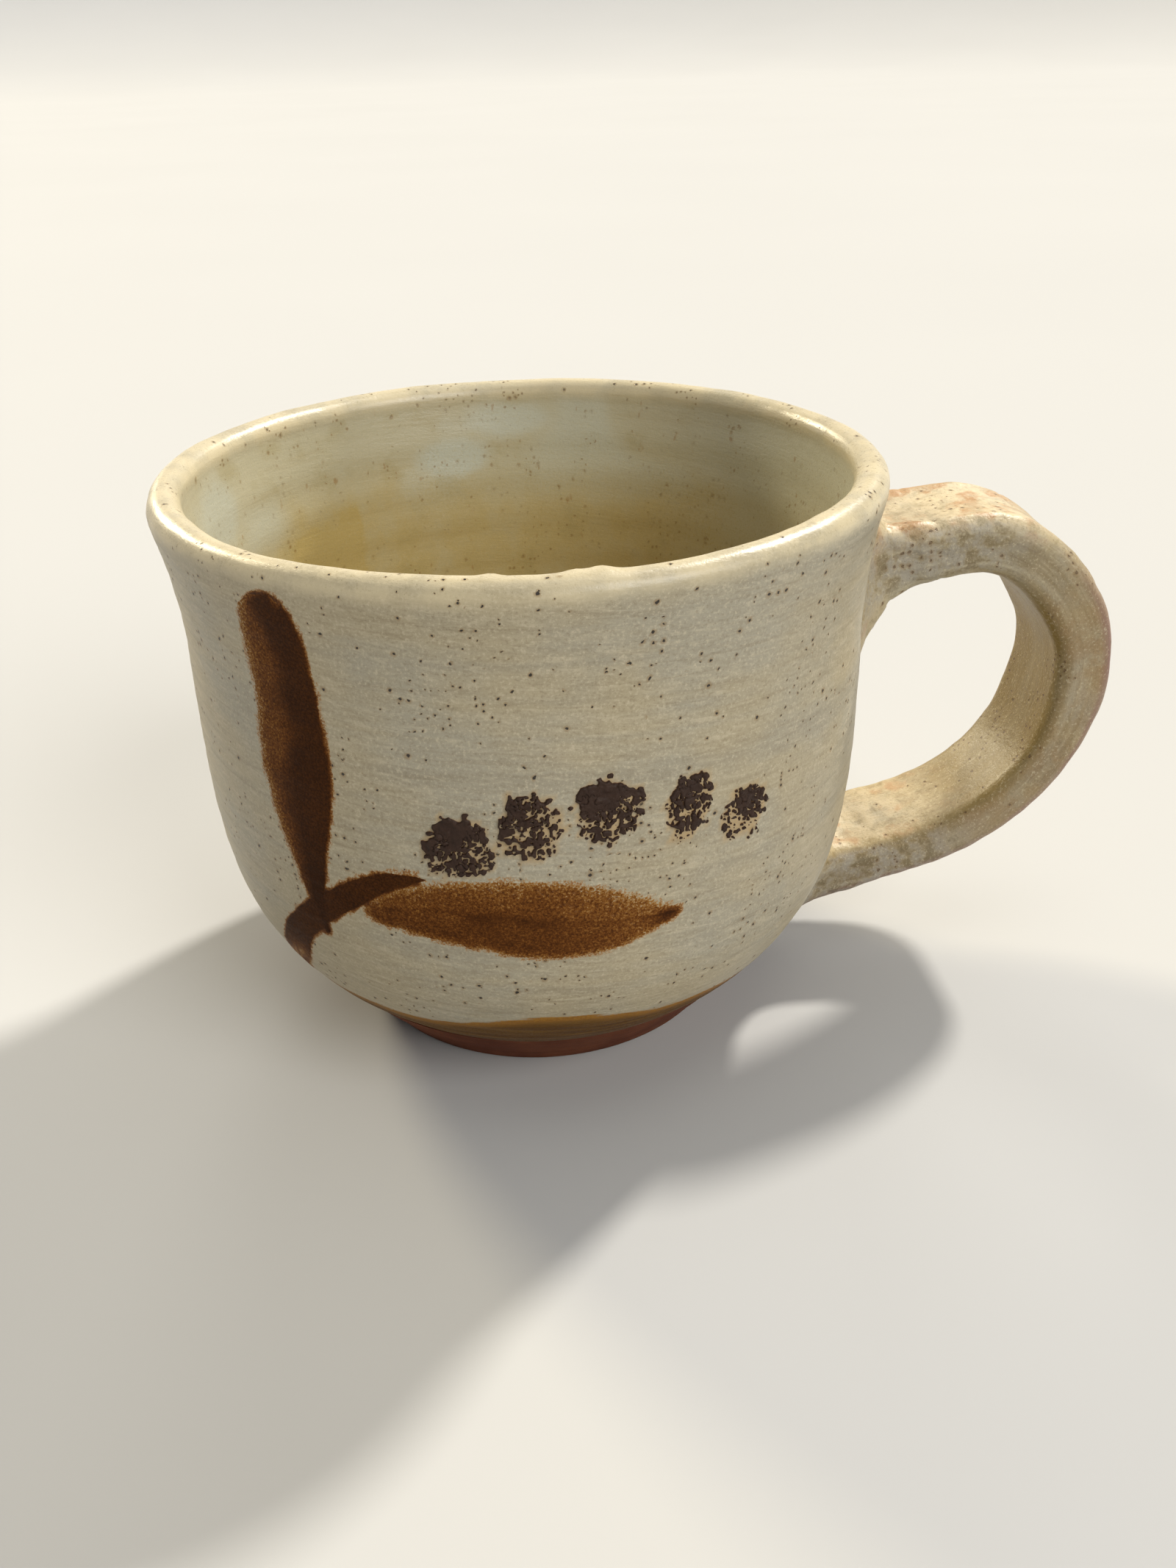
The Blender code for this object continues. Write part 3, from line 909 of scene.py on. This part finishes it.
def liner_tones(angle, height):
    """How ochre and how chalky the inside glaze is: ochre low down, chalk in a few pale patches and as
    painted light by the handle.
    """
    place = cylinder(angle, INNER_NOISE_RADIUS, height)
    level = height + 4.0 * noise(place, 16.0, 101) + 2.0 * rough(place, 5.0, 102)
    ochre = 0.85 * smooth_step(79, 64, level)
    # A patch of deeper ochre with a sharp upright edge near 124 degrees, fading out by 136 to 146 degrees.
    wiped = smooth_step(123.6, 125.2, angle + 0.4 * noise(place, 4.0, 103))
    wiped = wiped * smooth_step(146, 136, angle)
    ochre = ochre + wiped * smooth_step(73, 64, level)
    cream = smooth_step(140, 160, np.abs(angle)) * smooth_step(55, 75, height)
    ochre = np.clip(ochre - 0.8 * cream, 0, 1.6)
    pale_pools_and_lit_wall = [
        blot(angle, height, (101.0, 74.5), (8.0, 8.0, 4.2), 104),
        0.8 * blot(angle, height, (88.0, 80.0), (11.0, 11.0, 3.5), 105),
        # Painted light: the wall inside by the handle is chalked paler, rising from 40 to 60 mm height.
        0.55 * smooth_step(62, 25, np.abs(angle)) * smooth_step(40, 60, height),
        0.7 * blot(angle, height, (168.0, 77.0), (9.0, 9.0, 6.0), 106),
        0.6 * smooth_step(0.35, 0.7, noise(place, 14.0, 107)) * smooth_step(60, 76, height),
    ]
    return ochre, np.max(pale_pools_and_lit_wall, axis=0)


def turned(profile):
    """Angle, radius and height of the points of a skin turned from a profile."""
    angles = np.linspace(-180, 180, CUP_SEGMENTS, endpoint=False)
    angle, radius = np.meshgrid(angles, profile[:, 0])
    height = np.meshgrid(angles, profile[:, 1])[1]
    return angle, radius, height


def make_cup(glaze):
    """The thrown cup: outer wall, rounded lip and inner wall as one turned skin, closed underneath."""
    outer = smooth_curve(OUTER_WALL, OUTER_STEPS)
    arc = np.radians(np.linspace(8, 172, LIP_STEPS))
    lip = np.stack([
        LIP_CENTRE_RADIUS + LIP_ROUND * np.cos(arc),
        LIP_CENTRE_HEIGHT + LIP_ROUND * np.sin(arc),
    ], axis=1)
    inner = smooth_curve(INNER_WALL, INNER_STEPS)[:-1]
    profile = np.vstack([outer, lip, inner])
    across = np.gradient(profile, axis=0)
    across /= np.linalg.norm(across, axis=1, keepdims=True)
    normal = np.stack([across[:, 1], -across[:, 0]], axis=1)

    angle, radius, height = turned(profile)
    rows = np.arange(len(profile))[:, None] + 0 * angle
    is_outer = rows < len(outer)
    place = cylinder(angle, radius, height)
    inner_rings = 0.06 * np.sin(2 * np.pi * (height + 5 * angle / 360) / 7.0)
    inner_rings = inner_rings + 0.25 * noise(place, 30.0, 71)
    blend_in = smooth_step(LIP_TOP - 2, LIP_TOP - 12, height)
    inner_relief = inner_rings * blend_in + lip_relief(place) * (1 - blend_in)
    swell = np.where(is_outer, wall_relief(angle, height), inner_relief)
    radius = radius + swell * normal[:, 0][:, None]
    height = height + swell * normal[:, 1][:, None]
    grid = cylinder(angle, radius, height)

    angle, height, is_outer = angle.ravel(), height.ravel(), is_outer.ravel()
    iron = np.zeros(angle.size)
    berry = np.zeros(angle.size)
    painted = is_outer & (angle > PAINTED[0]) & (angle < PAINTED[1])
    iron[painted] = total_iron(angle[painted], height[painted])
    berry[painted] = berry_tint(angle[painted], height[painted])
    ochre, chalk = liner_tones(angle, height)
    stain = np.maximum(
        blot(angle, height, (0.0, 64.0), (16.0, 16.0, 14.0), 63),
        blot(angle, height, (0.0, 17.0), (15.0, 15.0, 10.0), 64),
    )
    # Each attribute's values on the skin, and at the middles of its lower and upper closing fans.
    values = {
        "inside": (smooth_step(len(outer) + 5, len(outer) + 16, rows), 0.0, 1.0),
        "iron": (iron, 0.0, 0.0),
        "berry": (berry, 0.0, 0.0),
        "band": (np.where(is_outer, glaze_line(angle) - height, NO_BAND), -NO_BAND, NO_BAND),
        "ochre": (ochre, 0.0, 1.0),
        # chalk: pale pools, and painted light on the inside wall by the handle.
        "chalk": (chalk, 0.0, 0.0),
        "stain": (stain * is_outer, 0.0, 0.0),
        "lip": (smooth_step(LIP_TOP - 3.6, LIP_TOP - 1.2, height), 0.0, 0.0),
        "around": (np.radians(angle) * LIP_CENTRE_RADIUS, 0.0, 0.0),
        "up": (np.repeat(run_along(profile), CUP_SEGMENTS), 0.0, 0.0),
    }
    attributes = {label: np.append(skin, ends) for label, (skin, *ends) in values.items()}
    vertices, faces = closed_skin(grid, DISH_FLOOR + BOTTOM_GAP, INNER_WALL[-1][1])
    return make_piece("thrown_cup", vertices, faces, glaze, ["cup_body"], attributes)


def make_foot(clay):
    """The turned foot, with tool lines round its bevel."""
    bevel = smooth_curve(FOOT_PROFILE[2:], FOOT_STEPS)
    profile = np.vstack([FOOT_PROFILE[1], bevel])
    angle, radius, height = turned(profile)
    place = cylinder(angle, OUTER_NOISE_RADIUS, height)
    lines = 0.05 * noise(place * (0.03, 0.03, 1), 0.8, 81) + 0.03 * noise(place, 1.6, 82)
    lines = lines * smooth_step(0.3, 1.5, height)
    grid = cylinder(angle, radius + lines, height)
    vertices, faces = closed_skin(grid, FOOT_PROFILE[0][1], DISH_FLOOR)
    return make_piece("bare_foot", vertices, faces, clay, ["turned_foot"])


def strap_section():
    """The strap's outline: at each point, its corner's sides and the step round the edge radius."""
    corners = np.array([(1, 1), (-1, 1), (-1, -1), (1, -1)])
    outline = []
    for k, (corner, ahead) in enumerate(zip(corners, np.roll(corners, -1, axis=0))):
        for turn in np.radians(np.linspace(90 * k, 90 * k + 90, CORNER_POINTS)):
            outline.append((*corner, math.cos(turn), math.sin(turn)))
        between_corners = SIDE_POINTS if k % 2 else FACE_POINTS
        for share in np.linspace(0, 1, between_corners + 2)[1:-1]:
            outline.append((*(corner + share * (ahead - corner)), math.cos(turn), math.sin(turn)))
    return np.array(outline).T


def handle_grid():
    """Points of the whole strap, from inside the wall at the upper root to inside it at the lower one."""
    path = smooth_curve(STRAP_PATH, STRAP_STEPS)
    through_side, across_side, through_step, across_step = strap_section()
    along = np.gradient(path[:, :2], axis=0)
    along /= np.linalg.norm(along, axis=1, keepdims=True)
    outward = np.stack([-along[:, 1], along[:, 0]], axis=1)
    half = path[:, 2][:, None] / 2
    through = through_side * (half - STRAP_EDGE_RADIUS) + through_step * STRAP_EDGE_RADIUS
    across = across_side * (STRAP_HALF_WIDTH - STRAP_EDGE_RADIUS) + across_step * STRAP_EDGE_RADIUS
    across = across + 0 * through
    grid = np.stack([
        path[:, 0][:, None] + outward[:, 0][:, None] * through,
        across,
        path[:, 1][:, None] + outward[:, 1][:, None] * through,
    ], axis=-1)
    shape = np.stack([through / half, across / STRAP_HALF_WIDTH])
    shape = np.sign(shape) * shape**2
    shape /= np.linalg.norm(shape, axis=0)
    lateral = np.stack([
        outward[:, 0][:, None] * shape[0],
        shape[1],
        outward[:, 1][:, None] * shape[0],
    ], axis=-1)
    return grid, lateral


def over_wall(grid):
    """Distance from the cup's axis, and how far outside the wall each point is."""
    radius = np.hypot(grid[..., 0], grid[..., 1])
    height = np.clip(grid[..., 2], FOOT_HEIGHT, WALL_TOP)
    return (radius - wall_radius(height)) / np.hypot(1, wall_slope(height))


def add_fillets(grid, lateral):
    """Spread the strap's ends onto the wall in a hollow curve that meets it smoothly."""
    rows = np.arange(len(grid))[:, None]
    upper = rows < len(grid) / 2
    up = lateral[..., 2]
    above, below, beside = (
        np.where(upper, first, second) for first, second in zip(UPPER_ROOT_FILLET, LOWER_ROOT_FILLET)
    )
    vertical = np.where(up > 0, above, below)
    reach = np.sqrt((vertical * np.abs(up)) ** 2 + (beside * np.abs(lateral[..., 1])) ** 2)
    distance = over_wall(grid)
    near = np.clip(reach - distance, 0, reach)
    spread = reach - np.sqrt(np.maximum(reach**2 - near**2, 0))
    moved = grid + lateral * spread[..., None]
    radius = np.hypot(moved[..., 0], moved[..., 1])
    drift = over_wall(moved) - distance
    pull = np.where(spread > 0, drift * smooth_step(0, 1.5, spread), 0)
    moved[..., 0] -= pull * moved[..., 0] / radius
    moved[..., 1] -= pull * moved[..., 1] / radius
    return moved, spread


def strap_tones(grid, lateral, spread):
    """Masks over the strap: ochre inner edges, rose outer edge, warm faces paler from wear and painted
    light, and chalky flanks.
    """
    knot = np.arange(len(grid))[:, None] / STRAP_STEPS + 0 * spread
    through = np.hypot(lateral[..., 0], lateral[..., 2])
    middle = grid.mean(axis=1, keepdims=True)
    outward = grid - middle
    from_gap = middle[..., ::2] - GAP_MIDDLE
    facing_out = np.sign((outward[..., ::2] * from_gap).sum(axis=-1))
    edge = smooth_step(0.35, 0.8, 2 * through * np.abs(lateral[..., 1]))
    patchy = 0.5 + 0.5 * noise(grid, 5.0, 111)
    outer = through * facing_out
    upper = smooth_step(5.0, 3.2, knot)
    lower = smooth_step(9.0, 10.6, knot)
    inner_face = smooth_step(-0.5, -0.9, outer)
    ochre = 0.95 * inner_face * smooth_step(3.0, 4.5, knot) * (1 - lower)
    ochre = np.maximum(ochre, edge * (outer < 0) * (0.55 + 0.6 * patchy) * smooth_step(3.4, 4.8, knot))
    rose = edge * (outer > 0) * smooth_step(4.0, 6.0, knot) * (0.6 + 0.6 * patchy)
    # Upper faces by the two roots and the smeared clay made paler: wear, and painted light from above.
    worn_and_lit = smooth_step(0.0, 0.7, outer) * upper + 0.8 * inner_face * lower
    worn_and_lit = np.clip(worn_and_lit + 0.5 * smooth_step(0.5, 3.0, spread), 0, 1)
    flank = smooth_step(0.7, 0.95, np.abs(lateral[..., 1]))
    chalk = flank * np.maximum(smooth_step(4.5, 2.5, knot), lower)
    tan = flank * smooth_step(3.2, 6.0, knot) * (1 - 0.6 * lower) * (0.4 + 0.6 * patchy)
    return {"ochre": ochre, "rose": rose, "worn_and_lit": worn_and_lit, "chalk": chalk, "tan": tan}


def keep_in_wall(grid):
    """Move the strap's buried ends out from the cavity, so that the inner wall covers them."""
    radius = np.hypot(grid[..., 0], grid[..., 1])
    covered = np.maximum(radius, inner_radius(grid[..., 2]) + COVER)
    grid[..., :2] *= (covered / radius)[..., None]


def make_handle(glaze):
    """The strap and its two roots, cut from one continuous surface."""
    grid, lateral = handle_grid()
    middle = grid.mean(axis=1, keepdims=True)
    run = run_along(middle[:, 0])[:, None] + 0 * grid[..., 0]
    through = np.hypot(grid[..., 0] - middle[..., 0], grid[..., 2] - middle[..., 2])
    across = grid[..., 1].copy()
    grid, spread = add_fillets(grid, lateral)
    tones = strap_tones(grid, lateral, spread)
    end = run.max()
    near_root = np.maximum(smooth_step(24, 8, run), smooth_step(end - 22, end - 8, run))
    lumps = 0.3 * noise(grid, 12.0, 91) + (0.14 + 0.16 * near_root) * rough(grid, 3.0, 92)
    scraped = 0.22 * noise(grid * (0.5, 0.8, 1.0), 1.3, 93) * smooth_step(0.2, 3.0, spread)
    pits = smooth_step(0.4, 0.7, noise(grid, 1.5, 94)) * np.maximum(tones["worn_and_lit"], near_root)
    hollow = smooth_step(0.75, 1.0, lateral[..., 2]) * smooth_step(0, 3, 9 - np.abs(across))
    hollow = hollow * (run < 45)
    grid = grid + tube_normals(grid) * (lumps + scraped - 0.3 * pits - 0.5 * hollow)[..., None]
    keep_in_wall(grid)
    normals = tube_normals(grid)

    splits = {
        "root_upper": (0, 2 * STRAP_STEPS),
        "strap": (2 * STRAP_STEPS, 11 * STRAP_STEPS),
        "root_lower": (11 * STRAP_STEPS, len(grid) - 1),
    }
    masks = {**tones, "run": run, "through": through, "across": across}
    for part, (first, last) in splits.items():
        points = grid[first:last + 1]
        rows, count = points.shape[:2]
        faces = grid_faces(rows, count, True)
        faces.append(tuple(range(count)))
        faces.append(tuple(range(rows * count - 1, (rows - 1) * count - 1, -1)))
        faces = [face[::-1] for face in faces]
        attributes = {label: values[first:last + 1] for label, values in masks.items()}
        make_piece(
            f"pulled_{part}", points.reshape(-1, 3), faces, glaze,
            [f"handle_{part}"], attributes, normals[first:last + 1].reshape(-1, 3),
        )


def make_stroke(name, glaze):
    """A skin of iron-bearing glaze over one stroke, sinking under the wall past the stroke's edge."""
    stroke = STROKES[name]
    across = np.linspace(-1, 1, 49)
    reach = stroke.half_width + STROKE_MARGIN
    steps = np.array([[0.5], [1.0]])
    before = stroke.middle[0] - stroke.along[0] * reach[0] * steps[::-1]
    after = stroke.middle[-1] + stroke.along[-1] * reach[-1] * steps
    middle = np.vstack([before, stroke.middle, after])
    along = np.pad(stroke.along, ((len(steps), len(steps)), (0, 0)), mode="edge")
    half = np.pad(reach, len(steps), mode="edge")
    normal = np.stack([-along[:, 1], along[:, 0]], axis=1)
    flat = middle[:, None] + normal[:, None] * (across * half[:, None])[..., None]
    height = np.clip(flat[..., 1], FOOT_HEIGHT + 0.5, WALL_TOP)
    angle = np.degrees(flat[..., 0] / wall_radius(height))
    inside = stroke.measure(angle.ravel(), height.ravel())[0].reshape(angle.shape)
    rise = -0.12 + 0.17 * smooth_step(-0.5, 0.5, inside)
    grid = on_wall(angle, height, rise)
    attributes = {
        "iron": total_iron(angle.ravel(), height.ravel()),
        "berry": berry_tint(angle.ravel(), height.ravel()),
        "band": np.full(angle.size, NO_BAND),
        "around": np.radians(angle) * LIP_CENTRE_RADIUS,
        "up": wall_run(height),
    }
    faces = [face[::-1] for face in grid_faces(*angle.shape, False)]
    return make_piece(
        f"brushed_{name}", grid.reshape(-1, 3), faces, glaze, [name], attributes,
    )


def make_berry(berry, slip):
    """One dab of thick slip as a raised, broken skin that dips under the glaze in its gaps."""
    u = np.arange(-berry.half_width * 1.35, berry.half_width * 1.35, BERRY_GRID)
    v = np.arange(-berry.half_tall * 1.3, berry.half_tall * 1.3, BERRY_GRID)
    u, v = np.meshgrid(u, v)
    height = berry.height + v
    angle = berry.angle + np.degrees(u / wall_radius(height))
    field = berry.field(angle, height)
    place = np.stack([u, v, np.full_like(u, BERRY_APART * berry.number)], axis=-1)
    top = BERRY_RISE * (0.8 + 0.45 * noise(place, 1.1, 56) + 0.3 * noise(place, 0.42, 57))
    share = smooth_step(-0.12, 0.4, field)
    rise = -0.1 + (top + 0.1) * share
    grid = on_wall(angle, height, rise)
    faces = grid_faces(*angle.shape, False)
    return make_piece(
        f"dabbed_berry_{berry.number}", grid.reshape(-1, 3), faces, slip,
        [f"berry_{berry.number}"], {"rise": share.ravel()},
    )


# ---------------------------------------------------------------- stage, light and camera

def add_stage_ring(name, profile, paper):
    """A pale ring round the mug, from its profile of radius and height in metres."""
    turns = np.radians(np.arange(0, 360, 5))
    radius, height = np.array(profile).T[..., None]
    grid = np.stack([radius * np.cos(turns), radius * np.sin(turns), height + 0 * turns], axis=-1)
    mesh = bpy.data.meshes.new(name)
    mesh.from_pydata(grid.reshape(-1, 3).tolist(), [], grid_faces(*grid.shape[:2], True))
    mesh.shade_smooth()
    mesh.materials.append(paper)
    ring = bpy.data.objects.new(name, mesh)
    bpy.context.scene.collection.objects.link(ring)
    return ring


def add_backdrop():
    """A pale floor, and beyond it a sweep up into a round wall that gives the mug no light and no shade."""
    graph = Graph("pale_paper")
    tone = graph.mix(graph.noise(400.0), *PAPERS)
    paper = graph.finish(tone, 0.9, specular=0.2)
    bend = np.radians(np.linspace(0, 90, 17))
    sweep = [(SWEEP_START + SWEEP * math.sin(turn), SWEEP * (1 - math.cos(turn))) for turn in bend]
    add_stage_ring("floor", [(0.0, 0.0), (FLOOR_RADIUS, 0.0)], paper)
    wall = [(FLOOR_RADIUS, 0.0), *sweep, (SWEEP_START + SWEEP, BACKDROP_HEIGHT)]
    backdrop = add_stage_ring("backdrop", wall, paper)
    backdrop.visible_diffuse = False
    backdrop.visible_shadow = False


def add_sun(name, azimuth, elevation, strength, softness, colour):
    """A far light from an azimuth and elevation in degrees, as wide in the sky as its softness."""
    light = bpy.data.lights.new(name, "SUN")
    light.energy = strength
    light.angle = math.radians(softness)
    light.color = colour
    item = bpy.data.objects.new(name, light)
    turn, climb = math.radians(azimuth), math.radians(elevation)
    towards = (math.cos(climb) * math.cos(turn), math.cos(climb) * math.sin(turn), math.sin(climb))
    item.rotation_euler = Vector(towards).to_track_quat("Z", "Y").to_euler()
    bpy.context.scene.collection.objects.link(item)


def add_lights():
    """The suns and an even white sky."""
    for light in LIGHTS:
        add_sun(*light)
    world = bpy.data.worlds.new("world")
    bpy.context.scene.world = world
    world.use_nodes = True
    background = world.node_tree.nodes["Background"]
    background.inputs["Color"].default_value = (1.0, 1.0, 1.0, 1)
    background.inputs["Strength"].default_value = SKY_STRENGTH
    bpy.context.scene.view_settings.view_transform = "Standard"


def add_camera():
    """The camera, from its place, heading, pitch and roll."""
    turn = math.radians(CAMERA_AZIMUTH)
    distance = CAMERA_DISTANCE * MM
    place = Vector((distance * math.cos(turn), distance * math.sin(turn), CAMERA_HEIGHT * MM))
    heading = math.radians(CAMERA_HEADING)
    pitch = math.radians(CAMERA_PITCH)
    level = math.cos(pitch)
    look = Vector((level * math.cos(heading), level * math.sin(heading), -math.sin(pitch)))
    right = Vector((math.sin(heading), -math.cos(heading), 0))
    up = right.cross(look)
    axes = Matrix((right, up, -look)).transposed().to_4x4()
    camera = bpy.data.objects.new("camera", bpy.data.cameras.new("camera"))
    roll = Matrix.Rotation(math.radians(CAMERA_ROLL), 4, "Z")
    camera.matrix_world = Matrix.Translation(place) @ axes @ roll
    camera.data.sensor_width = 36
    camera.data.lens = CAMERA_LENS
    camera.data.clip_start = 0.01
    bpy.context.scene.collection.objects.link(camera)
    bpy.context.scene.camera = camera


def main():
    """Set the stage and make every piece."""
    add_camera()
    add_lights()
    add_backdrop()
    make_cup(glaze_material("satin_glaze", 0.55))
    make_foot(bare_clay_material())
    make_handle(handle_material())
    iron = glaze_material("iron_wash", 0.03)
    for name in STROKES:
        make_stroke(name, iron)
    slip = berry_material()
    for berry in BERRIES:
        make_berry(berry, slip)


main()
